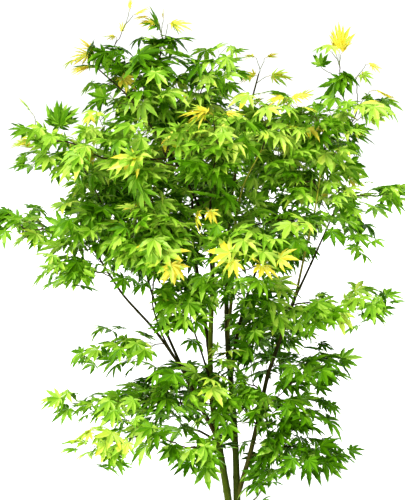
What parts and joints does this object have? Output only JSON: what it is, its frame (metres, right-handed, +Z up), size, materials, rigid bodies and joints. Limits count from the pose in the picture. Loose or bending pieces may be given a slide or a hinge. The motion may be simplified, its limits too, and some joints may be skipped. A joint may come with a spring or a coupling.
{
  "type": "japanese maple tree",
  "caption": "Young Japanese maple rooted in level ground: a short flared trunk, slender upright stems, thin forking boughs and uneven masses of lobed green leaves.",
  "frame": {"origin": "middle of the trunk's flat cut at ground level", "axes": "+Z up along the tree, +X to the right across the crown's wide side seen from the front, +Y towards the back"},
  "size_m": [1.0577, 0.8296, 1.4882],
  "materials": {
    "stem_bark": "smooth olive bark, faintly streaked, satin",
    "bough_bark": "smooth dark brown bark, satin",
    "leaves_deep": "shaded deep green leaves",
    "leaves_green": "mid green leaves",
    "leaves_lime": "light yellow-green leaves",
    "leaves_young": "young yellow leaves"
  },
  "bodies": {
    "root": {"trunk": "stem_bark", "stem_left": "stem_bark", "stem_middle": "stem_bark", "right_limb": "bough_bark", "right_upright_fork": "bough_bark", "right_outer_fork": "bough_bark", "left_limb": "bough_bark", "left_long_fork": "bough_bark", "left_upright_fork": "bough_bark", "left_thin_fork": "bough_bark", "inner_left_bough": "bough_bark", "crown_left_limb": "bough_bark", "crown_right_limb": "bough_bark", "lower_left_bough": "bough_bark", "lower_right_bough": "bough_bark", "front_bough": "bough_bark", "back_left_limb": "bough_bark", "back_right_limb": "bough_bark", "basal_shoot": "bough_bark", "top_left_spray": "leaves_young", "top_left_shoots": "leaves_lime", "top_centre": "leaves_green", "top_blades": "leaves_young", "top_right_spray": "leaves_lime", "right_shoulder": "leaves_lime", "crown_upper_left": "leaves_green", "left_outer": "leaves_green", "left_shoulder": "leaves_lime", "crown_front_left": "leaves_lime", "crown_front": "leaves_lime", "crown_middle": "leaves_deep", "crown_right": "leaves_green", "right_upper": "leaves_green", "right_middle": "leaves_green", "right_front": "leaves_green", "right_droop": "leaves_deep", "left_middle": "leaves_green", "left_low": "leaves_green", "middle_left": "leaves_green", "centre_front": "leaves_lime", "centre": "leaves_deep", "hanging_left": "leaves_lime", "under_crown": "leaves_deep", "right_low_tip": "leaves_green", "lower_left_upper": "leaves_green", "lower_left_inner": "leaves_deep", "lower_left_tier": "leaves_green", "lower_left_skirt": "leaves_lime", "stem_leaves": "leaves_green", "lower_right_upper": "leaves_deep", "lower_right_middle": "leaves_deep", "lower_right_skirt": "leaves_deep", "basal_spray": "leaves_green", "back_crown": "leaves_green", "back_left": "leaves_green", "back_right": "leaves_green", "back_middle_left": "leaves_deep", "back_middle_right": "leaves_deep", "back_lower": "leaves_deep", "back_lower_left": "leaves_deep"}
  },
  "joints": []
}
